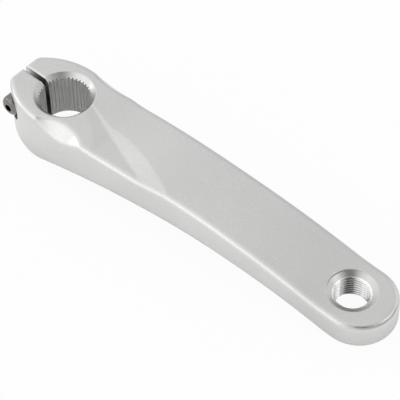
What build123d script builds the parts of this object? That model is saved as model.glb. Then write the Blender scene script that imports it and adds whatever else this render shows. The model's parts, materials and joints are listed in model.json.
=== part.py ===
# Bicycle crank arm: one forged arm with a splined and slit spindle hub, and its pinch bolt.
# Millimetres. +X runs along the arm to the pedal hole, and +Z points out of the outer face.
# Heights are laid out from the hub's outer face. The finished parts are then raised so that
# the origin lies on the spindle axis where the splines begin, just below that face.
import os
from math import pi

from build123d import *

# Arm, seen along the spindle
crank_length = 140.0
arm_half_width = 14.3
hub_half_width = 16.4
hub_end_reach = 22.0
hub_end_half_width = 7.5
hub_end_corner_radius = 4.0
flare_length = 75.0
flare_blend_radius = 1000.0
pedal_end_offset = 3.0

# Arm, seen from the side
hub_height = 24.0
arch_start_from_scallop = 14.5
arch_peak = 82.0
arch_rise = 4.4
arch_end_before_pedal = 5.0
arch_blend_radius = 40.0
arch_end_blend_radius = 100.0
pedal_face_height = 0.4
pedal_thickness = 11.2
underside_start = -1.0
underside_start_blend_radius = 25.0
underside_peak = 106.0
underside_depth = 8.4
underside_end_before_pedal = 1.0
spindle_boss_radius = 14.6

# Extra length and width of the side view, cut away by the outline
stock_margin = 5.0

# Edges of the forging
top_edge_radius = 2.0
bottom_edge_radius = 2.0

# Scallops that narrow the outer face where the hub becomes the arm
scallop_position = 11.5
near_scallop_face_y = -10.95
near_scallop_plan_radius = 18.9
near_scallop_edge_radius = 2.4
far_scallop_face_y = 13.85
far_scallop_plan_radius = 45.0
far_scallop_edge_radius = 1.6
scallop_cone_depth = 8.0

# Shallow valley of two facets on the bolt head's side of the outer face
valley_start_x = 2.0
valley_bend_x = 28.0
valley_end_x = 70.0
valley_y_at_axis = 7.35
valley_drift = 0.4
valley_bend_depth = 0.5
valley_end_rise = 3.1
hub_facet_slope = 0.06
arm_facet_slope = 0.24

# Spindle bore
spline_count = 40
spline_tip_radius = 9.72
spline_depth = 0.45
spline_tip_share = 0.42
spline_root_share = 0.28
bore_outer_chamfer = 2.0
bore_inner_chamfer = 3.9

# Clamp
slit_width = 2.0
slit_edge_chamfer = 0.4
bolt_from_hub_end = 4.4
bolt_z = -9.4
bolt_thread_radius = 2.5
bolt_hole_clearance = 0.25
bolt_thread_clearance = 0.05
bolt_grip = 7.7
bolt_engagement = 6.5
bolt_end_room = 1.0
bolt_head_radius = 4.25
bolt_head_height = 5.0
bolt_head_edge = 2.2
bolt_tip_chamfer = 0.6
bolt_pocket_clearance = 1.2
bolt_socket_width = 3.0
bolt_socket_depth = 2.6

# Pedal hole
pedal_thread_radius = 7.14
pedal_countersink_radius = 9.05
pedal_countersink_depth = 1.2
pedal_back_chamfer = 0.3

# Places that follow from the sizes above
pedal_end_x = crank_length + pedal_end_offset
tip_x = pedal_end_x + arm_half_width
pedal_bottom = pedal_face_height - pedal_thickness
arch_start = scallop_position + arch_start_from_scallop
arch_end = crank_length - arch_end_before_pedal
underside_end = crank_length - underside_end_before_pedal
spline_root_radius = spline_tip_radius + spline_depth
slit_half_width = slit_width / 2
bolt_x = bolt_from_hub_end - hub_end_reach
bolt_seat_y = -slit_half_width - bolt_grip
bolt_tip_y = slit_half_width + bolt_engagement
bolt_hole_end_y = bolt_tip_y + bolt_end_room
bolt_pocket_radius = bolt_head_radius + bolt_pocket_clearance

# Corners of the outline: the hub's end curves away from its crown in line with the arm's side
end_corner = (-hub_end_reach, hub_end_half_width)
hub_crown = (0.0, hub_half_width)
flare_end = (flare_length, arm_half_width)
flare_direction = (hub_crown[0] - flare_end[0], hub_crown[1] - flare_end[1])
stock_left = -hub_end_reach - stock_margin
stock_right = tip_x + stock_margin
stock_half_width = hub_half_width + stock_margin
stock_top = arch_rise + stock_margin
valley_ceiling = arch_rise + stock_half_width
near_scallop_axis_y = near_scallop_face_y - near_scallop_plan_radius
far_scallop_axis_y = far_scallop_face_y + far_scallop_plan_radius

# Spline grooves: each mouth starts a little inside the tip circle
spline_pitch = 2 * pi / spline_count
groove_floor = spline_root_share * spline_pitch * spline_root_radius / 2
groove_tip_half = (1 - spline_tip_share) * spline_pitch * spline_tip_radius / 2
groove_flank = (groove_tip_half - groove_floor) / spline_depth
groove_foot_radius = spline_tip_radius - spline_depth
groove_mouth = groove_tip_half + groove_flank * spline_depth

# Planes and axes of the bolt and of the pedal hole
bolt_plane = Plane(origin=(bolt_x, 0, bolt_z), x_dir=(-1, 0, 0), z_dir=(0, 1, 0))
pedal_axis = Axis((crank_length, 0, 0), (0, 0, 1))

with BuildPart() as crank_arm:
    # Side view: flat hub face, arched arm, flat pedal face, and an underside that follows them
    with BuildSketch(Plane.XZ) as side_view:
        with BuildLine():
            Polyline((stock_left, -hub_height), (stock_left, 0), (arch_start, 0))
            ThreePointArc((arch_start, 0), (arch_peak, arch_rise), (arch_end, pedal_face_height))
            Polyline(
                (arch_end, pedal_face_height),
                (stock_right, pedal_face_height),
                (stock_right, pedal_bottom),
                (underside_end, pedal_bottom),
            )
            underside_top = (underside_peak, -underside_depth)
            TangentArc(underside_top, (underside_end, pedal_bottom), tangent=(1, 0))
            TangentArc(underside_top, (underside_start, -hub_height), tangent=(-1, 0))
            Line((underside_start, -hub_height), (stock_left, -hub_height))
        make_face()
        for corner, radius in (
            ((arch_start, 0), arch_blend_radius),
            ((arch_end, pedal_face_height), arch_end_blend_radius),
            ((underside_end, pedal_bottom), arch_blend_radius),
            ((underside_start, -hub_height), underside_start_blend_radius),
        ):
            fillet(side_view.vertices().sort_by_distance(corner)[0], radius)
    extrude(amount=stock_half_width, both=True)

    # Outline along the spindle, mirrored about the arm's axis
    with BuildSketch(Plane.XY.offset(-hub_height)) as outline:
        with BuildLine():
            Line((-hub_end_reach, 0), end_corner)
            TangentArc(hub_crown, end_corner, tangent=flare_direction)
            Polyline(hub_crown, flare_end, (pedal_end_x, arm_half_width))
            RadiusArc((pedal_end_x, arm_half_width), (tip_x, 0), arm_half_width)
            Line((tip_x, 0), (-hub_end_reach, 0))
        make_face()
        fillet(outline.vertices().sort_by_distance(end_corner)[0], hub_end_corner_radius)
        fillet(outline.vertices().sort_by_distance(flare_end)[0], flare_blend_radius)
        mirror(about=Plane.XZ)
    extrude(amount=hub_height + stock_top, mode=Mode.INTERSECT)

    # Valley between the two facets, with a bend where the arch begins
    for x, z in (
        (valley_start_x, 0),
        (valley_bend_x, -valley_bend_depth),
        (valley_end_x, valley_end_rise),
    ):
        valley_y = valley_y_at_axis - valley_drift * x
        arm_facet_z = z + arm_facet_slope * (stock_half_width - valley_y)
        hub_facet_z = z + hub_facet_slope * (stock_half_width + valley_y)
        with BuildSketch(Plane.YZ.offset(x)):
            Polygon(
                (valley_y, z),
                (stock_half_width, arm_facet_z),
                (stock_half_width, valley_ceiling),
                (-stock_half_width, valley_ceiling),
                (-stock_half_width, hub_facet_z),
                align=None,
            )
    loft(ruled=True, mode=Mode.SUBTRACT)

    # Rounded rims of the outer face and of the underside
    walls = crank_arm.faces().filter_by(lambda face: abs(face.normal_at().Z) < 1e-3)
    rims = walls.edges().filter_by(Axis.Z, reverse=True)
    fillet(rims.filter_by(lambda edge: edge.center().Z > -underside_depth / 2), top_edge_radius)
    walls = crank_arm.faces().filter_by(lambda face: abs(face.normal_at().Z) < 1e-3)
    rims = walls.edges().filter_by(Axis.Z, reverse=True)
    fillet(rims.filter_by(lambda edge: edge.center().Z < -underside_depth / 2), bottom_edge_radius)

    # Scallops: cones that widen upwards at 45 degrees, one on each side of the hub face
    for axis_y, plan_radius, edge_radius in (
        (near_scallop_axis_y, near_scallop_plan_radius, near_scallop_edge_radius),
        (far_scallop_axis_y, far_scallop_plan_radius, far_scallop_edge_radius),
    ):
        with Locations((scallop_position, axis_y, -scallop_cone_depth)):
            Cone(
                plan_radius - scallop_cone_depth,
                plan_radius + stock_margin,
                scallop_cone_depth + stock_margin,
                align=(Align.CENTER, Align.CENTER, Align.MIN),
                mode=Mode.SUBTRACT,
            )
        cones = crank_arm.faces().filter_by(GeomType.CONE)
        scallop = cones.sort_by_distance((scallop_position, axis_y, 0))[0]
        fillet(scallop.edges(), edge_radius)

    # Round boss around the inner end of the bore
    with BuildSketch(Plane.XY.offset(-hub_height)):
        Circle(spindle_boss_radius)
    extrude(amount=hub_height / 2)

    # Splined bore: a plain hole at the tips of the teeth, the grooves, and a chamfer at each end
    with BuildSketch(Plane.XY):
        Circle(spline_tip_radius)
    extrude(amount=-hub_height, mode=Mode.SUBTRACT)
    with BuildSketch(Plane.XY):
        with PolarLocations(0, spline_count):
            Polygon(
                (groove_foot_radius, -groove_mouth),
                (spline_root_radius, -groove_floor),
                (spline_root_radius, groove_floor),
                (groove_foot_radius, groove_mouth),
                align=None,
            )
    extrude(amount=-hub_height, mode=Mode.SUBTRACT)
    with BuildSketch(Plane.XZ):
        Polygon(
            (0, 0),
            (spline_tip_radius + bore_outer_chamfer, 0),
            (spline_tip_radius, -bore_outer_chamfer),
            (0, -bore_outer_chamfer),
            align=None,
        )
        Polygon(
            (0, -hub_height),
            (spline_tip_radius + bore_inner_chamfer, -hub_height),
            (spline_tip_radius, bore_inner_chamfer - hub_height),
            (0, bore_inner_chamfer - hub_height),
            align=None,
        )
    revolve(axis=Axis.Z, mode=Mode.SUBTRACT)

    # Slit from the bore to the hub's end, with a chamfered mouth on the outer face
    with BuildSketch(Plane.YZ):
        Polygon(
            (-slit_half_width, -hub_height),
            (slit_half_width, -hub_height),
            (slit_half_width, -slit_edge_chamfer),
            (slit_half_width + slit_edge_chamfer, 0),
            (-slit_half_width - slit_edge_chamfer, 0),
            (-slit_half_width, -slit_edge_chamfer),
            align=None,
        )
    extrude(amount=stock_left, mode=Mode.SUBTRACT)

    # Pocket for the bolt's head, clearance hole in the near lug, and blind hole in the far lug
    with BuildSketch(bolt_plane.offset(bolt_seat_y)):
        Circle(bolt_pocket_radius)
    extrude(amount=-stock_half_width, mode=Mode.SUBTRACT)
    with BuildSketch(bolt_plane):
        Circle(bolt_thread_radius + bolt_hole_clearance)
    extrude(amount=bolt_seat_y, mode=Mode.SUBTRACT)
    with BuildSketch(bolt_plane):
        Circle(bolt_thread_radius + bolt_thread_clearance)
    extrude(amount=bolt_hole_end_y, mode=Mode.SUBTRACT)

    # Pedal hole, countersunk on the outer face and chamfered at the back
    with BuildSketch(Plane.XZ):
        Polygon(
            (crank_length, stock_top),
            (crank_length + pedal_countersink_radius, stock_top),
            (crank_length + pedal_countersink_radius, pedal_face_height),
            (crank_length + pedal_thread_radius, pedal_face_height - pedal_countersink_depth),
            (crank_length + pedal_thread_radius, pedal_bottom + pedal_back_chamfer),
            (crank_length + pedal_thread_radius + pedal_back_chamfer, pedal_bottom),
            (crank_length, pedal_bottom),
            align=None,
        )
    revolve(axis=pedal_axis, mode=Mode.SUBTRACT)

with BuildPart() as pinch_bolt:
    # Shank with a chamfered tip
    with BuildSketch(bolt_plane.offset(bolt_seat_y)):
        Circle(bolt_thread_radius)
    extrude(amount=bolt_tip_y - bolt_seat_y)
    chamfer(pinch_bolt.edges().sort_by(Axis.Y)[-1], bolt_tip_chamfer)

    # Round head with a hexagon socket
    with BuildSketch(bolt_plane.offset(bolt_seat_y)):
        Circle(bolt_head_radius)
    extrude(amount=-bolt_head_height)
    fillet(pinch_bolt.edges().sort_by(Axis.Y)[0], bolt_head_edge)
    with BuildSketch(bolt_plane.offset(bolt_seat_y - bolt_head_height)):
        RegularPolygon(bolt_socket_width / 2, 6, major_radius=False)
    extrude(amount=bolt_socket_depth, mode=Mode.SUBTRACT)

# Origin at the outer end of the splines
crank_arm.part.move(Pos(0, 0, bore_outer_chamfer))
pinch_bolt.part.move(Pos(0, 0, bore_outer_chamfer))

os.makedirs("parts", exist_ok=True)
crank_arm.part.label = "crank_arm"
pinch_bolt.part.label = "pinch_bolt"
export_step(crank_arm.part, "parts/crank_arm.step")
export_step(pinch_bolt.part, "parts/pinch_bolt.step")
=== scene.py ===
import json
import math

import bpy
import numpy as np
from mathutils import Matrix, Vector


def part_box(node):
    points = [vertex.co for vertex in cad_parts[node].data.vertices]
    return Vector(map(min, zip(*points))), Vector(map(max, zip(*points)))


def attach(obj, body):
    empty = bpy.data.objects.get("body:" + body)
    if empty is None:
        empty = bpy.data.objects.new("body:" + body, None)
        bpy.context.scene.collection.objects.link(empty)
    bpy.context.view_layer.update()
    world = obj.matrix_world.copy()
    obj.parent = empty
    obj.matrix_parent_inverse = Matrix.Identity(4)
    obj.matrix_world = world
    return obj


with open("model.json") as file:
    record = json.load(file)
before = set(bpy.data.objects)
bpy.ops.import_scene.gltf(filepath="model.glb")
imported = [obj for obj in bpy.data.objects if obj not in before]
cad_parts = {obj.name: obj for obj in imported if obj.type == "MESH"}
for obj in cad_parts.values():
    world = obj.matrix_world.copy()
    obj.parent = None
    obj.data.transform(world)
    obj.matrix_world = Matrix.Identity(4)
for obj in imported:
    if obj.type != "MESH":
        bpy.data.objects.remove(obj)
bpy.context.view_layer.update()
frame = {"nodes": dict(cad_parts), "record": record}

bl_info = {
    "name": "Bicycle crank arm",
    "version": (1, 0, 0),
    "blender": (4, 5, 0),
    "location": "View3D > Sidebar > Crank arm",
    "description": "Finishes, pedal thread and studio for a left bicycle crank arm",
    "category": "Object",
}

# Box of the bare frame, and the places that the finishes and the thread take from it
MOUNTS = {mount["name"]: mount for mount in frame["record"]["mounts"]}
BORE_RADIUS = MOUNTS["spindle_bore"]["dims"]["r_mm"] / 1000
BORE_LENGTH = MOUNTS["spindle_bore"]["dims"]["length_mm"] / 1000
PEDAL_CENTRE = Vector(MOUNTS["pedal_hole"]["pos_m"])
PEDAL_RADIUS = MOUNTS["pedal_hole"]["dims"]["r_mm"] / 1000
PEDAL_LENGTH = MOUNTS["pedal_hole"]["dims"]["length_mm"] / 1000
BOLT_LOW, BOLT_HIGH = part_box("pinch_bolt")
BOLT_CENTRE = (BOLT_LOW + BOLT_HIGH) / 2
BOLT_HEAD_RADIUS = (BOLT_HIGH.x - BOLT_LOW.x) / 2

# Parts of a place that count for its distance from an axis along Z or along Y
ROUND_Z, ROUND_Y = (1, 1, 0), (1, 0, 1)
# Detail of a noise, and the part of its reach that it mostly takes
PLAIN, FINE, BROAD = 1.0, 2.0, 3.0
NOISE_LOW, NOISE_HIGH = 0.3, 0.7
# Cosine between eased and true normal where an edge starts and where it is full, and the rays spent
EDGE_NONE, EDGE_FULL = 0.99, 0.86
EDGE_SAMPLES, CREASE_SAMPLES = 6, 8
# Width of the border between the skin and cut metal
SOFT_BORDER = 0.00004
# Angle between two faces above which the edge of a new piece stays sharp
SHARP_ANGLE = math.radians(40)
# Height above the lowest point within which the hub counts as resting on the floor
RESTING_HEIGHT = 0.00005
# Width of the camera's sensor in millimetres, and the nearest and farthest that it sees in metres
SENSOR_WIDTH = 36
NEAREST_SEEN, FARTHEST_SEEN = 0.01, 20


class CrankArmFinish(bpy.types.PropertyGroup):
    """Satin silver skin of the arm, and the bare metal where tools have cut it."""

    silver: bpy.props.FloatVectorProperty(
        name="Silver", description="Colour of the satin skin", subtype="COLOR",
        min=0, max=1, default=(0.680, 0.680, 0.674))
    silver_roughness: bpy.props.FloatProperty(
        name="Silver roughness", description="Mean roughness of the satin skin",
        subtype="FACTOR", min=0, max=1, default=0.31)
    cloud_size: bpy.props.FloatProperty(
        name="Cloud size", description="Width of the broad, faint changes in tone",
        unit="LENGTH", default=0.028)
    grain_size: bpy.props.FloatProperty(
        name="Grain size", description="Width of the blasted grain under the skin",
        unit="LENGTH", default=0.0006)
    grain_height: bpy.props.FloatProperty(
        name="Grain height", description="Depth of the blasted grain",
        unit="LENGTH", default=0.00003)
    turned: bpy.props.FloatVectorProperty(
        name="Turned metal", description="Colour of the turned chamfers and the sawn slit",
        subtype="COLOR", min=0, max=1, default=(0.60, 0.60, 0.59))
    turned_roughness: bpy.props.FloatProperty(
        name="Turned roughness", description="Mean roughness of the turned chamfers",
        subtype="FACTOR", min=0, max=1, default=0.32)
    broached: bpy.props.FloatVectorProperty(
        name="Broached metal", description="Colour of the broached spline teeth",
        subtype="COLOR", min=0, max=1, default=(0.88, 0.88, 0.87))
    mark_size: bpy.props.FloatProperty(
        name="Tool mark", description="Spacing of the tool marks on cut metal",
        unit="LENGTH", default=0.00022)
    wear_width: bpy.props.FloatProperty(
        name="Wear width", description="Width of the rubbed band along an edge",
        unit="LENGTH", default=0.0006)
    crease_radius: bpy.props.FloatProperty(
        name="Crease radius", description="How far the forging's shallow creases are eased",
        unit="LENGTH", default=0.0014)
    outer_chamfer: bpy.props.FloatProperty(
        name="Outer chamfer", description="Width of the bore's chamfer on the outer face",
        unit="LENGTH", default=0.002)
    inner_chamfer: bpy.props.FloatProperty(
        name="Inner chamfer", description="Width of the bore's chamfer on the inner face",
        unit="LENGTH", default=0.0039)
    countersink: bpy.props.FloatProperty(
        name="Countersink", description="Width of the pedal hole's countersink",
        unit="LENGTH", default=0.00191)
    back_chamfer: bpy.props.FloatProperty(
        name="Back chamfer", description="Width of the pedal hole's chamfer at the back",
        unit="LENGTH", default=0.0003)
    slit_half_width: bpy.props.FloatProperty(
        name="Slit half width", description="From the slit's middle to its wall",
        unit="LENGTH", default=0.00102)
    slit_chamfer: bpy.props.FloatProperty(
        name="Slit chamfer", description="Width of the chamfer along the slit's mouth",
        unit="LENGTH", default=0.0004)
    pocket_clearance: bpy.props.FloatProperty(
        name="Pocket clearance", description="From the bolt head to the wall of its pocket",
        unit="LENGTH", default=0.00125)
    # Depth in the slit down to which its walls are darkened as painted shade
    recess_shade_depth: bpy.props.FloatProperty(
        name="Dull depth", description="Depth in the slit at which its walls are fully dull",
        unit="LENGTH", default=0.008)


class PinchBoltFinish(bpy.types.PropertyGroup):
    """Dark bright plating of the pinch bolt."""

    plating: bpy.props.FloatVectorProperty(
        name="Plating", description="Colour of the plated steel", subtype="COLOR",
        min=0, max=1, default=(0.22, 0.21, 0.205))
    plating_roughness: bpy.props.FloatProperty(
        name="Plating roughness", description="Mean roughness of the plated steel",
        subtype="FACTOR", min=0, max=1, default=0.07)
    mark_size: bpy.props.FloatProperty(
        name="Turning mark", description="Spacing of the turning marks on the head",
        unit="LENGTH", default=0.00018)
    wear_width: bpy.props.FloatProperty(
        name="Wear width", description="Width of the rubbed band along an edge",
        unit="LENGTH", default=0.0003)


class PedalThread(bpy.types.PropertyGroup):
    """Left-hand thread that the pedal's spindle screws into."""

    pitch: bpy.props.FloatProperty(
        name="Pitch", description="Height of one turn of the thread",
        unit="LENGTH", default=0.00127)
    depth: bpy.props.FloatProperty(
        name="Depth", description="Height of a ridge above the wall of the hole",
        unit="LENGTH", default=0.00074)
    crest_share: bpy.props.FloatProperty(
        name="Crest share", description="Part of the pitch taken by a ridge's flat crest",
        subtype="FACTOR", min=0, max=1, default=0.14)
    root_share: bpy.props.FloatProperty(
        name="Root share", description="Part of the pitch taken by a groove's flat root",
        subtype="FACTOR", min=0, max=1, default=0.10)
    front_taper: bpy.props.FloatProperty(
        name="Front taper",
        description="Growth of a ridge below the countersink, per unit of depth",
        default=1.6)
    back_taper: bpy.props.FloatProperty(
        name="Back taper",
        description="Growth of a ridge above the back of the hole, per unit of height",
        default=3.0)
    wall_gap: bpy.props.FloatProperty(
        name="Wall gap", description="Room between the thread and the wall of the hole",
        unit="LENGTH", default=0.00001)
    steps_round: bpy.props.IntProperty(
        name="Steps round", description="Faces round the hole", default=192)
    steps_per_turn: bpy.props.IntProperty(
        name="Steps per turn", description="Faces along one pitch", default=22)
    metal: bpy.props.FloatVectorProperty(
        name="Cut metal", description="Colour of the freshly cut thread", subtype="COLOR",
        min=0, max=1, default=(0.90, 0.90, 0.89))
    metal_roughness: bpy.props.FloatProperty(
        name="Cut roughness", description="Mean roughness of the cut thread",
        subtype="FACTOR", min=0, max=1, default=0.22)


class StudioStage(bpy.types.PropertyGroup):
    """Pale floor, soft lamps and camera."""

    floor_colour: bpy.props.FloatVectorProperty(
        name="Floor", description="Colour of the floor", subtype="COLOR",
        min=0, max=1, default=(0.92, 0.92, 0.92))
    floor_half: bpy.props.FloatProperty(
        name="Floor half width", description="From the middle of the floor to its edge",
        unit="LENGTH", default=2.5)
    floor_seen: bpy.props.FloatProperty(
        name="Floor whiteness", description="Share of plain white in the floor as it is seen",
        subtype="FACTOR", min=0, max=1, default=0.94)
    floor_mirrored: bpy.props.FloatProperty(
        name="Floor in metal", description="Share of plain white in the floor as metal shows it",
        subtype="FACTOR", min=0, max=1, default=0.95)
    shade_reach: bpy.props.FloatProperty(
        name="Shade reach",
        description="From the arm's middle line to where metal shows a white floor",
        unit="LENGTH", default=0.027)
    shade_core: bpy.props.FloatProperty(
        name="Shade core", description="Part of the shade's reach that is fully shaded",
        subtype="FACTOR", min=0, max=1, default=0.4)
    shade_light: bpy.props.FloatProperty(
        name="Shade light",
        description="Share of plain white in the shaded floor as metal shows it",
        subtype="FACTOR", min=0, max=1, default=0.08)
    sky: bpy.props.FloatProperty(
        name="Sky", description="Mean strength of the white light from all round",
        min=0, default=0.71)
    sky_grade: bpy.props.FloatProperty(
        name="Sky grade", description="How much the sky gains towards its bright side",
        subtype="FACTOR", min=0, max=1, default=0.62)
    sky_side: bpy.props.FloatVectorProperty(
        name="Bright side", description="Direction of the sky's bright side",
        subtype="DIRECTION", default=(-0.70, -0.60, 0.39))
    gap_side: bpy.props.FloatVectorProperty(
        name="Dark side", description="Direction of the dark gap above the camera",
        subtype="DIRECTION", default=(0.42, -0.32, 0.85))
    gap_light: bpy.props.FloatProperty(
        name="Gap light", description="Share of the sky's light that is left in the dark gap",
        subtype="FACTOR", min=0, max=1, default=0.06)
    gap_core: bpy.props.FloatProperty(
        name="Gap core", description="Angle from the gap's middle to where it starts to fade",
        subtype="ANGLE", default=math.radians(13))
    gap_edge: bpy.props.FloatProperty(
        name="Gap edge", description="Angle from the gap's middle to where it ends",
        subtype="ANGLE", default=math.radians(22.5))
    key_place: bpy.props.FloatVectorProperty(
        name="Key lamp place", description="Middle of the broad lamp on the bolt head's side",
        unit="LENGTH", subtype="TRANSLATION", default=(-0.22, -0.66, 0.40))
    key_width: bpy.props.FloatProperty(
        name="Key lamp width", description="Width of the broad lamp on the bolt head's side",
        unit="LENGTH", default=0.80)
    key_power: bpy.props.FloatProperty(
        name="Key lamp power", description="Power of the broad lamp on the bolt head's side",
        unit="POWER", default=0.45)
    small_place: bpy.props.FloatVectorProperty(
        name="Small lamp place", description="Middle of the small low lamp off the hub's end",
        unit="LENGTH", subtype="TRANSLATION", default=(-0.70, -0.33, 0.21))
    small_width: bpy.props.FloatProperty(
        name="Small lamp width", description="Width of the small low lamp off the hub's end",
        unit="LENGTH", default=0.25)
    small_power: bpy.props.FloatProperty(
        name="Small lamp power", description="Power of the small low lamp off the hub's end",
        unit="POWER", default=0.20)
    back_place: bpy.props.FloatVectorProperty(
        name="Back lamp place", description="Middle of the low lamp behind the arm",
        unit="LENGTH", subtype="TRANSLATION", default=(0.30, 0.80, 0.36))
    back_width: bpy.props.FloatProperty(
        name="Back lamp width", description="Width of the low lamp behind the arm",
        unit="LENGTH", default=0.75)
    back_power: bpy.props.FloatProperty(
        name="Back lamp power", description="Power of the low lamp behind the arm",
        unit="POWER", default=0.70)
    side_place: bpy.props.FloatVectorProperty(
        name="Side lamp place", description="Middle of the high lamp beyond the pedal's end",
        unit="LENGTH", subtype="TRANSLATION", default=(0.75, 0.45, 0.75))
    side_width: bpy.props.FloatProperty(
        name="Side lamp width", description="Width of the high lamp beyond the pedal's end",
        unit="LENGTH", default=0.55)
    side_power: bpy.props.FloatProperty(
        name="Side lamp power", description="Power of the high lamp beyond the pedal's end",
        unit="POWER", default=0.70)
    focal_length: bpy.props.FloatProperty(
        name="Focal length", description="Focal length of the camera in millimetres",
        default=177.86)
    camera_aim: bpy.props.FloatVectorProperty(
        name="Camera aim", description="Point in the middle of the picture", unit="LENGTH",
        subtype="TRANSLATION", default=(0.072865, -0.004531, 0.002))
    camera_distance: bpy.props.FloatProperty(
        name="Camera distance", description="From the aim to the camera",
        unit="LENGTH", default=0.71266)
    camera_azimuth: bpy.props.FloatProperty(
        name="Camera azimuth", description="Turn of the camera about the upright",
        subtype="ANGLE", default=math.radians(42.78))
    camera_elevation: bpy.props.FloatProperty(
        name="Camera elevation", description="Height of the camera above the horizon",
        subtype="ANGLE", default=math.radians(50.65))
    camera_roll: bpy.props.FloatProperty(
        name="Camera roll", description="Turn of the camera about its own axis",
        subtype="ANGLE", default=math.radians(-1.0))


class NodeBench:
    """One shader tree being laid out: each method adds nodes and returns an output."""

    def __init__(self, tree):
        self.tree = tree
        tree.nodes.clear()

    def add(self, kind, inputs=None, **settings):
        """Adds a node, sets its attributes, and fills or links the sockets in inputs."""
        node = self.tree.nodes.new(kind)
        for name, value in settings.items():
            setattr(node, name, value)
        for key, value in (inputs or {}).items():
            if isinstance(value, bpy.types.NodeSocket):
                self.tree.links.new(value, node.inputs[key])
            else:
                node.inputs[key].default_value = value
        return node

    def place(self):
        """Where on the object a point lies."""
        return self.add("ShaderNodeTexCoord").outputs["Object"]

    def split(self, place):
        """The three coordinates of place."""
        return self.add("ShaderNodeSeparateXYZ", {0: place}).outputs

    def join(self, x, y=0.0, z=0.0):
        """One vector from three coordinates."""
        return self.add("ShaderNodeCombineXYZ", {"X": x, "Y": y, "Z": z}).outputs[0]

    def math(self, operation, a, b=0.0, clamp=False):
        """One sum of two values."""
        made = self.add("ShaderNodeMath", {0: a, 1: b}, operation=operation, use_clamp=clamp)
        return made.outputs[0]

    def times(self, a, b):
        """Product of two values."""
        return self.math("MULTIPLY", a, b)

    def most(self, first, *others):
        """Largest of several values."""
        for other in others:
            first = self.math("MAXIMUM", first, other)
        return first

    def vector(self, operation, a, b=(0.0, 0.0, 0.0)):
        """One sum of two vectors."""
        made = self.add("ShaderNodeVectorMath", {0: a, 1: b}, operation=operation)
        return made.outputs["Value" if operation in ("LENGTH", "DOT_PRODUCT") else "Vector"]

    def span(self, value, low, high, to_low=0.0, to_high=1.0):
        """Carries value from low..high to to_low..to_high and stops at the ends."""
        made = self.add("ShaderNodeMapRange", {
            "Value": value, "From Min": low, "From Max": high, "To Min": to_low, "To Max": to_high})
        return made.outputs["Result"]

    def spread(self, noise, to_low=0.0, to_high=1.0):
        """Carries the part of its reach that a noise mostly takes to to_low..to_high."""
        return self.span(noise, NOISE_LOW, NOISE_HIGH, to_low, to_high)

    def noise(self, place, size, detail=FINE, rough=0.5):
        """Cloudy noise whose features are about size wide."""
        made = self.add("ShaderNodeTexNoise", {
            "Vector": place, "Scale": 1 / size, "Detail": detail, "Roughness": rough})
        return made.outputs["Fac"]

    def blend(self, share, a, b):
        """Colour between a and b."""
        made = self.add("ShaderNodeMix", {0: share, 6: a, 7: b}, data_type="RGBA")
        return made.outputs[2]

    def blend_value(self, share, a, b):
        """Number between a and b."""
        made = self.add("ShaderNodeMix", {0: share, 2: a, 3: b}, data_type="FLOAT")
        return made.outputs[0]

    def blend_normal(self, share, a, b):
        """Direction between a and b."""
        made = self.add("ShaderNodeMix", {0: share, 4: a, 5: b}, data_type="VECTOR")
        return made.outputs[1]

    def true_normal(self):
        """Normal of the surface as it is."""
        return self.add("ShaderNodeNewGeometry").outputs["Normal"]

    def eased_normal(self, radius, samples):
        """Normal of the surface as if its edges were rounded by radius."""
        return self.add("ShaderNodeBevel", {"Radius": radius}, samples=samples).outputs["Normal"]

    def bump(self, height, depth, under=None):
        """Normal of a surface that height lifts by up to depth."""
        sockets = {"Height": height, "Distance": depth, "Strength": 1.0}
        if under is not None:
            sockets["Normal"] = under
        return self.add("ShaderNodeBump", sockets).outputs["Normal"]

    def rubbed_edges(self, width):
        """About 1 on an edge and 0 on flat ground: eased normal against true normal."""
        eased = self.eased_normal(width, EDGE_SAMPLES)
        agree = self.vector("DOT_PRODUCT", eased, self.true_normal())
        return self.span(agree, EDGE_NONE, EDGE_FULL)

    def round_axis(self, place, centre, axes):
        """Distance of place from a straight axis through centre; axes has 0 along that axis."""
        away = self.vector("SUBTRACT", place, tuple(centre))
        return self.vector("LENGTH", self.vector("MULTIPLY", away, axes))

    def inside(self, distance, limit):
        """1 where distance is under limit, with a narrow soft border."""
        room = self.math("DIVIDE", self.math("SUBTRACT", limit, distance), SOFT_BORDER)
        return self.math("ADD", room, 0.5, clamp=True)

    def finish(self, colour, roughness, normal):
        """Closes the tree with a metal shader."""
        shader = self.add("ShaderNodeBsdfPrincipled", {
            "Metallic": 1.0, "Base Color": colour, "Roughness": roughness, "Normal": normal})
        self.add("ShaderNodeOutputMaterial", {"Surface": shader.outputs["BSDF"]})


def rgba(colour, gain=1.0):
    """A colour property as the four numbers of a socket, brightened by gain."""
    return (*[min(1.0, channel * gain) for channel in colour], 1.0)


def new_material(name):
    """An empty node material and the bench for its tree."""
    material = bpy.data.materials.new(name)
    material.use_nodes = True
    return material, NodeBench(material.node_tree)


def dress(node, material):
    """Gives every slot of a CAD node this material."""
    mesh = frame["nodes"][node].data
    mesh.materials.clear()
    mesh.materials.append(material)


def closed_tube(name, rings):
    """Mesh of a closed tube from an array of rings, rings x steps x 3.

    Each ring runs counter-clockwise about +Z. The rings climb the inside and come back
    down the outside, and the last one joins the first, so the shell is closed both ways
    and each quad's front looks out of the metal.
    """
    rows, steps = rings.shape[:2]
    index = np.arange(rows * steps).reshape(rows, steps)
    above = np.roll(index, -1, axis=0)
    quads = np.stack([index, above, np.roll(above, -1, axis=1), np.roll(index, -1, axis=1)],
                     axis=-1)
    mesh = bpy.data.meshes.new(name)
    mesh.from_pydata(rings.reshape(-1, 3).tolist(), [], quads.reshape(-1, 4).tolist())
    mesh.polygons.foreach_set("use_smooth", np.ones(rows * steps, dtype=bool))
    mesh.set_sharp_from_angle(angle=SHARP_ANGLE)
    mesh.update()
    made = bpy.data.objects.new(name, mesh)
    bpy.context.scene.collection.objects.link(made)
    return made


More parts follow.
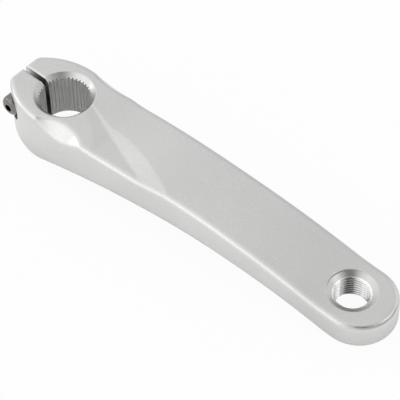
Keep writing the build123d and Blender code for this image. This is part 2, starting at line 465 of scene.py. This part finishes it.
def thread_rings(thread):
    """Rings of the pedal thread's shell, climbing the threaded inside and closing on the outside.

    With p the pitch and a the angle about the hole's axis, the phase z / p + a / (2 pi) is
    the same all along a left-hand groove. A ridge's height over one phase is a trapezoid:
    flat root, straight flank, flat crest, straight flank. The inner radius is the wall's
    less that height. A cone at each end cuts the ridges away: there a ridge is never higher
    than the distance to that end times the cone's taper.
    """
    wall = PEDAL_RADIUS - thread.wall_gap
    low = PEDAL_CENTRE.z - PEDAL_LENGTH / 2
    high = PEDAL_CENTRE.z + PEDAL_LENGTH / 2
    climb = np.linspace(low, high, round(PEDAL_LENGTH / thread.pitch * thread.steps_per_turn) + 1)
    angle = np.linspace(0, 2 * np.pi, thread.steps_round, endpoint=False)
    z, a = np.meshgrid(climb, angle, indexing="ij")
    phase = (z / thread.pitch + a / (2 * np.pi)) % 1.0
    from_crest = np.abs(phase - 0.5) * 2
    flank = 1 - thread.crest_share - thread.root_share
    ridge = np.clip((1 - thread.root_share - from_crest) / flank, 0, 1)
    room = np.minimum((z - low) * thread.back_taper, (high - z) * thread.front_taper)
    inside = wall - np.minimum(thread.depth * ridge, room) - thread.wall_gap
    outside = np.full((2, thread.steps_round), wall)
    radius = np.concatenate([inside, outside])
    z = np.concatenate([z, np.full_like(outside[:1], high), np.full_like(outside[:1], low)])
    a = np.broadcast_to(angle, radius.shape)
    return np.stack([PEDAL_CENTRE.x + radius * np.cos(a),
                     PEDAL_CENTRE.y + radius * np.sin(a), z], axis=-1)


def cut_shares(bench, place, look):
    """Shares of the arm's surface that are cut metal, spline teeth, and painted shade in the bolt's
    pocket and deep in the slit.

    The bore, the pedal hole and the bolt's pocket are cylinders about their axes, wider at a
    chamfered end. The slit is a slab about the plane y = 0, from the bore to the hub's end.
    """
    # Heights between which a hole's limit goes from its back end's to its front end's
    bore_turn = (-BORE_LENGTH * 0.6, -BORE_LENGTH * 0.5)
    pedal_turn = (PEDAL_CENTRE.z - 0.0005, PEDAL_CENTRE.z + 0.0005)
    # The slit starts inside the bore's wall, and the pocket holds this part of the bolt
    slit_start = -BORE_RADIUS * 0.8
    pocket_floor = BOLT_LOW.y + (BOLT_HIGH.y - BOLT_LOW.y) * 0.3
    x, y, z = bench.split(place)

    bore_limit = bench.span(
        z, *bore_turn, BORE_RADIUS + look.inner_chamfer, BORE_RADIUS + look.outer_chamfer)
    in_bore = bench.inside(bench.round_axis(place, (0, 0, 0), ROUND_Z), bore_limit)
    pedal_limit = bench.span(
        z, *pedal_turn, PEDAL_RADIUS + look.back_chamfer, PEDAL_RADIUS + look.countersink)
    in_pedal = bench.inside(bench.round_axis(place, PEDAL_CENTRE, ROUND_Z), pedal_limit)
    slit_limit = bench.span(
        z, look.outer_chamfer - look.slit_chamfer, look.outer_chamfer,
        look.slit_half_width, look.slit_half_width + look.slit_chamfer)
    in_slit = bench.inside(bench.math("ABSOLUTE", y), slit_limit)
    in_slit = bench.times(in_slit, bench.inside(x, slit_start))
    from_bolt = bench.round_axis(place, BOLT_CENTRE, ROUND_Y)
    in_pocket = bench.inside(from_bolt, BOLT_HEAD_RADIUS + look.pocket_clearance)
    in_pocket = bench.times(in_pocket, bench.inside(y, pocket_floor))

    cut = bench.most(in_bore, in_pedal, in_slit, in_pocket)
    teeth = bench.times(in_bore, bench.times(bench.inside(z, 0.0), bench.inside(-BORE_LENGTH, z)))
    # Painted shade: the bolt's pocket, and the slit's walls darker with depth, stand in for the
    # shade in these recesses
    painted_recess_shade = bench.most(in_pocket, bench.times(in_slit, bench.span(z, 0.0, -look.recess_shade_depth)))
    return cut, teeth, painted_recess_shade


def tool_marks(bench, place, teeth, size):
    """Noise drawn out round both holes by turning, and along the bore on the broached teeth."""
    # A broached stroke is fifty times as long as it is wide
    stroke = (1, 1, 0.02)
    rings = bench.join(bench.round_axis(place, (0, 0, 0), ROUND_Z), bench.split(place)["Z"],
                       bench.round_axis(place, PEDAL_CENTRE, ROUND_Z))
    turning = bench.noise(rings, size, PLAIN)
    strokes = bench.noise(bench.vector("MULTIPLY", place, stroke), size)
    return bench.blend_value(teeth, turning, strokes)


def satin_silver(look):
    """Blasted and anodised skin, with bare metal where tools have cut it, and painted shade in the
    bolt's pocket and deep in the slit.
    """
    # Shares say how much of a change shows, gains and changes say how far it goes
    grain_share, grain_reach = 0.6, (0.35, 0.65)
    darkest, lightest = 0.93, 1.07
    mark_share, mark_gain = 0.35, 0.8
    least_wear, wear_share, wear_gain, wear_polish = 0.25, 0.35, 1.25, 0.06
    # Painted shade: how dark the bolt's pocket and the deep slit are against turned metal
    recess_shade_gain = 0.15
    satin_change, tooled_change = (-0.03, 0.03), (-0.05, 0.06)
    teeth_roughness, mark_height = 0.16, 0.5
    fleck_grains, grain_rough = 3, 0.6

    material, bench = new_material("satin_silver")
    place = bench.place()
    cut, teeth, painted_recess_shade = cut_shares(bench, place, look)
    skin = bench.math("SUBTRACT", 1.0, cut)
    marks = tool_marks(bench, place, teeth, look.mark_size)
    cloud = bench.noise(place, look.cloud_size, BROAD)
    grain = bench.noise(place, look.grain_size, FINE, grain_rough)
    fleck = bench.noise(place, look.grain_size * fleck_grains, BROAD, grain_rough)
    wear = bench.times(bench.rubbed_edges(look.wear_width), bench.spread(cloud, least_wear, 1.0))
    wear = bench.times(wear, skin)

    tone = bench.blend_value(grain_share, bench.spread(cloud), bench.span(grain, *grain_reach))
    silver = bench.blend(tone, rgba(look.silver, darkest), rgba(look.silver, lightest))
    bare = bench.blend(teeth, rgba(look.turned), rgba(look.broached))
    bare = bench.blend(bench.spread(marks, 0.0, mark_share), bare, rgba(look.broached, mark_gain))
    # Painted shade in the bolt's pocket and deep in the slit
    bare = bench.blend(painted_recess_shade, bare, rgba(look.turned, recess_shade_gain))
    colour = bench.blend(cut, silver, bare)
    colour = bench.blend(bench.times(wear, wear_share), colour, rgba(look.turned, wear_gain))

    satin = bench.spread(fleck, *[look.silver_roughness + change for change in satin_change])
    tooled = bench.spread(marks, *[look.turned_roughness + change for change in tooled_change])
    tooled = bench.math("ADD", tooled, bench.times(teeth, teeth_roughness))
    roughness = bench.blend_value(cut, satin, tooled)
    roughness = bench.math("SUBTRACT", roughness, bench.times(wear, wear_polish))

    height = bench.times(marks, bench.times(cut, mark_height))
    height = bench.math("ADD", bench.times(grain, skin), height)
    eased = bench.eased_normal(look.crease_radius, CREASE_SAMPLES)
    eased = bench.blend_normal(cut, eased, bench.true_normal())
    bench.finish(colour, roughness, bench.bump(height, look.grain_height, eased))
    return material


def dark_plating(look):
    """Bright dark plating with fine turning rings, a few dull specks and rubbed edges."""
    # A thin uneven film, dull specks and rubbed edges: their sizes, shares and gains
    film_size, film_gain = 0.0018, (0.88, 1.1)
    speck_size, speck_reach = 0.0004, (0.64, 0.72)
    speck_share, speck_gain, speck_roughness = 0.5, 0.55, 0.2
    least_wear, wear_share, wear_gain = 0.3, 0.5, 1.5
    film_change = (-0.03, 0.05)
    ring_depth = 0.0000012

    material, bench = new_material("dark_plating")
    place = bench.place()
    from_axis = bench.round_axis(place, BOLT_CENTRE, ROUND_Y)
    rings = bench.noise(bench.join(from_axis, bench.split(place)["Y"]), look.mark_size, PLAIN)
    film = bench.noise(place, film_size, BROAD)
    specks = bench.span(bench.noise(place, speck_size), *speck_reach)
    wear = bench.times(bench.rubbed_edges(look.wear_width), bench.spread(film, least_wear, 1.0))
    colour = bench.blend(film, *[rgba(look.plating, gain) for gain in film_gain])
    colour = bench.blend(bench.times(specks, speck_share), colour, rgba(look.plating, speck_gain))
    colour = bench.blend(bench.times(wear, wear_share), colour, rgba(look.plating, wear_gain))
    roughness = bench.spread(film, *[look.plating_roughness + change for change in film_change])
    roughness = bench.math("ADD", roughness, bench.times(specks, speck_roughness))
    bench.finish(colour, roughness, bench.bump(rings, ring_depth))
    return material


def cut_thread_metal(thread):
    """Freshly cut metal with fine marks round the hole, and painted shade darkening the grooves
    below the mouth.
    """
    # Fine marks, broad smears, painted shade in the grooves and rubbed crests: their sizes, shares
    # and gains
    mark_size, mark_depth, mark_change = 0.00012, 0.000002, (-0.05, 0.06)
    smear_size, smear_gain = 0.0015, (0.92, 1.06)
    groove_shade_share, groove_shade_gain = 0.8, 0.15
    wear_width, wear_share, wear_gain = 0.00012, 0.4, 1.25
    mouth = PEDAL_CENTRE.z + PEDAL_LENGTH / 2 - thread.depth / thread.front_taper

    material, bench = new_material("cut_thread_metal")
    place = bench.place()
    z = bench.split(place)["Z"]
    from_axis = bench.round_axis(place, PEDAL_CENTRE, ROUND_Z)
    marks = bench.noise(bench.join(from_axis, z), mark_size, PLAIN)
    smear = bench.noise(place, smear_size, BROAD)
    # Painted shade: the grooves below the mouth are darkened to stand in for the shade between the
    # ridges
    groove = bench.times(bench.span(from_axis, PEDAL_RADIUS - thread.depth, PEDAL_RADIUS),
                         bench.span(z, mouth, mouth - thread.pitch / 4))
    wear = bench.times(bench.rubbed_edges(wear_width), bench.spread(smear))
    colour = bench.blend(smear, *[rgba(thread.metal, gain) for gain in smear_gain])
    colour = bench.blend(bench.times(groove, groove_shade_share), colour, rgba(thread.metal, groove_shade_gain))
    colour = bench.blend(bench.times(wear, wear_share), colour, rgba(thread.metal, wear_gain))
    roughness = bench.spread(marks, *[thread.metal_roughness + change for change in mark_change])
    bench.finish(colour, roughness, bench.bump(marks, mark_depth))
    return material


class CRANK_OT_finish_arm(bpy.types.Operator):
    """Give the forged arm its satin silver skin and its bare cut metal"""

    bl_idname = "crank.finish_arm"
    bl_label = "Finish the arm"

    def execute(self, context):
        dress("crank_arm", satin_silver(context.scene.crank_arm_finish))
        return {"FINISHED"}


class CRANK_OT_finish_bolt(bpy.types.Operator):
    """Give the pinch bolt its dark plating"""

    bl_idname = "crank.finish_bolt"
    bl_label = "Finish the pinch bolt"

    def execute(self, context):
        dress("pinch_bolt", dark_plating(context.scene.pinch_bolt_finish))
        return {"FINISHED"}


class CRANK_OT_cut_thread(bpy.types.Operator):
    """Cut the left-hand thread into the wall of the pedal hole"""

    bl_idname = "crank.cut_thread"
    bl_label = "Cut the pedal thread"

    def execute(self, context):
        thread = context.scene.pedal_thread
        piece = closed_tube("pedal_thread", thread_rings(thread))
        piece.data.materials.append(cut_thread_metal(thread))
        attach(piece, "root")
        return {"FINISHED"}


def resting_floor(half):
    """Corners of a flat floor that the arm leans on with the rim of its hub and its pedal end.

    The floor holds the lowest hub point that lies farthest along the arm, and is as steep
    along X as the lowest line from there to any point of the arm beyond its middle.
    """
    mesh = frame["nodes"]["crank_arm"].data
    flat = np.empty(len(mesh.vertices) * 3, dtype=np.float32)
    mesh.vertices.foreach_get("co", flat)
    points = flat.reshape(-1, 3).astype(float)
    lowest = points[:, 2].min()
    foot = points[points[:, 2] < lowest + RESTING_HEIGHT, 0].max()
    beyond = points[points[:, 0] > PEDAL_CENTRE.x / 2]
    slope = ((beyond[:, 2] - lowest) / (beyond[:, 0] - foot)).min()
    x = PEDAL_CENTRE.x / 2 + half * np.array([-1.0, 1.0, 1.0, -1.0])
    y = half * np.array([-1.0, -1.0, 1.0, 1.0])
    return np.stack([x, y, lowest + slope * (x - foot)], axis=-1)


def seen_share(bench, seen, mirrored):
    """Seen on rays from the camera, mirrored on rays from metal or glass, and 0 on other rays."""
    path = bench.add("ShaderNodeLightPath")
    shiny = bench.most(path.outputs["Is Glossy Ray"], path.outputs["Is Transmission Ray"])
    seen = bench.times(path.outputs["Is Camera Ray"], seen)
    return bench.most(seen, bench.times(shiny, mirrored))


class CRANK_OT_set_stage(bpy.types.Operator):
    """Lay the pale floor and set up the soft light and the camera"""

    bl_idname = "crank.set_stage"
    bl_label = "Set the stage"

    def execute(self, context):
        stage = context.scene.studio_stage
        self.lay_floor(stage)
        self.light(context.scene, stage)
        self.aim_camera(context.scene, stage)
        context.scene.view_settings.view_transform = "Standard"
        return {"FINISHED"}

    def lay_floor(self, stage):
        """A pale matt floor whose own white shows through its shadow.

        Metal shows the floor as shaded close to the arm's middle line, and whiter with the
        distance from that line.
        """
        mesh = bpy.data.meshes.new("floor")
        mesh.from_pydata(resting_floor(stage.floor_half).tolist(), [], [(0, 1, 2, 3)])
        floor = bpy.data.objects.new("floor", mesh)
        bpy.context.scene.collection.objects.link(floor)
        material, bench = new_material("pale_floor")
        matt = bench.add("ShaderNodeBsdfDiffuse", {"Color": rgba(stage.floor_colour)})
        white = bench.add("ShaderNodeEmission", {"Color": (1, 1, 1, 1), "Strength": 1.0})
        place = bench.place()
        length = PEDAL_CENTRE.x
        beside = bench.join(bench.span(bench.split(place)["X"], 0.0, length, 0.0, length))
        level = bench.vector("MULTIPLY", bench.vector("SUBTRACT", place, beside), ROUND_Z)
        mirrored = bench.span(
            bench.vector("LENGTH", level), stage.shade_reach * stage.shade_core, stage.shade_reach,
            stage.shade_light, stage.floor_mirrored)
        share = seen_share(bench, stage.floor_seen, mirrored)
        mixed = bench.add("ShaderNodeMixShader", {
            0: share, 1: matt.outputs[0], 2: white.outputs[0]})
        bench.add("ShaderNodeOutputMaterial", {"Surface": mixed.outputs[0]})
        mesh.materials.append(material)

    def light(self, scene, stage):
        """Four soft lamps and a white sky.

        The sky's strength grows with the cosine of the angle to its bright side, and falls
        off inside a round dark gap. The camera itself sees plain white.
        """
        world = bpy.data.worlds.new("studio")
        world.use_nodes = True
        bench = NodeBench(world.node_tree)
        towards = bench.add("ShaderNodeTexCoord").outputs["Generated"]
        bright_side = Vector(stage.sky_side).normalized() * stage.sky_grade
        gain = bench.vector("DOT_PRODUCT", towards, tuple(bright_side))
        to_gap = bench.vector("DOT_PRODUCT", towards, tuple(Vector(stage.gap_side).normalized()))
        left = bench.span(
            to_gap, math.cos(stage.gap_edge), math.cos(stage.gap_core), 1.0, stage.gap_light)
        strength = bench.times(bench.times(bench.math("ADD", gain, 1.0), stage.sky), left)
        from_camera = bench.add("ShaderNodeLightPath").outputs["Is Camera Ray"]
        strength = bench.blend_value(from_camera, strength, 1.0)
        sky = bench.add("ShaderNodeBackground", {"Color": (1, 1, 1, 1), "Strength": strength})
        bench.add("ShaderNodeOutputWorld", {"Surface": sky.outputs[0]})
        scene.world = world
        for lamp in ("key", "small", "back", "side"):
            self.hang_lamp(scene, stage, lamp)

    def hang_lamp(self, scene, stage, lamp):
        """A round soft lamp that faces the middle of the picture."""
        light = bpy.data.lights.new(f"{lamp}_lamp", "AREA")
        light.shape = "DISK"
        light.size = getattr(stage, f"{lamp}_width")
        light.energy = getattr(stage, f"{lamp}_power")
        hung = bpy.data.objects.new(light.name, light)
        hung.location = getattr(stage, f"{lamp}_place")
        towards = Vector(stage.camera_aim) - hung.location
        hung.rotation_euler = towards.to_track_quat("-Z", "Y").to_euler()
        scene.collection.objects.link(hung)

    def aim_camera(self, scene, stage):
        """A long lens that looks down along the arm from the bolt head's side."""
        azimuth, elevation = stage.camera_azimuth, stage.camera_elevation
        back = Vector((math.sin(azimuth) * math.cos(elevation),
                       -math.cos(azimuth) * math.cos(elevation), math.sin(elevation)))
        right = Vector((math.cos(azimuth), math.sin(azimuth), 0))
        facing = Matrix((right, back.cross(right), back)).transposed()
        lens = bpy.data.cameras.new("camera")
        lens.lens = stage.focal_length
        lens.sensor_width = SENSOR_WIDTH
        lens.clip_start, lens.clip_end = NEAREST_SEEN, FARTHEST_SEEN
        camera = bpy.data.objects.new("camera", lens)
        turned = facing @ Matrix.Rotation(stage.camera_roll, 3, "Z")
        camera.matrix_world = Matrix.LocRotScale(
            Vector(stage.camera_aim) + back * stage.camera_distance, turned.to_quaternion(), None)
        scene.collection.objects.link(camera)
        scene.camera = camera


class CRANK_PT_panel(bpy.types.Panel):
    """Lists the steps that dress the crank arm"""

    bl_idname = "CRANK_PT_panel"
    bl_label = "Crank arm"
    bl_space_type = "VIEW_3D"
    bl_region_type = "UI"
    bl_category = "Crank arm"

    def draw(self, context):
        for step in STEPS:
            self.layout.operator(step.bl_idname)
        for name, group in GROUPS.items():
            box = self.layout.box()
            box.label(text=name.replace("_", " ").capitalize())
            for field in group.__annotations__:
                box.prop(getattr(context.scene, name), field)


GROUPS = {
    "crank_arm_finish": CrankArmFinish,
    "pinch_bolt_finish": PinchBoltFinish,
    "pedal_thread": PedalThread,
    "studio_stage": StudioStage,
}
STEPS = (CRANK_OT_finish_arm, CRANK_OT_finish_bolt, CRANK_OT_cut_thread, CRANK_OT_set_stage)


def register():
    for group in GROUPS.values():
        bpy.utils.register_class(group)
    for name, group in GROUPS.items():
        setattr(bpy.types.Scene, name, bpy.props.PointerProperty(type=group))
    for step in STEPS:
        bpy.utils.register_class(step)
    bpy.utils.register_class(CRANK_PT_panel)


def unregister():
    bpy.utils.unregister_class(CRANK_PT_panel)
    for step in reversed(STEPS):
        bpy.utils.unregister_class(step)
    for name, group in GROUPS.items():
        delattr(bpy.types.Scene, name)
        bpy.utils.unregister_class(group)


def main():
    register()
    bpy.ops.crank.finish_arm()
    bpy.ops.crank.finish_bolt()
    bpy.ops.crank.cut_thread()
    bpy.ops.crank.set_stage()


if __name__ == "__main__":
    main()
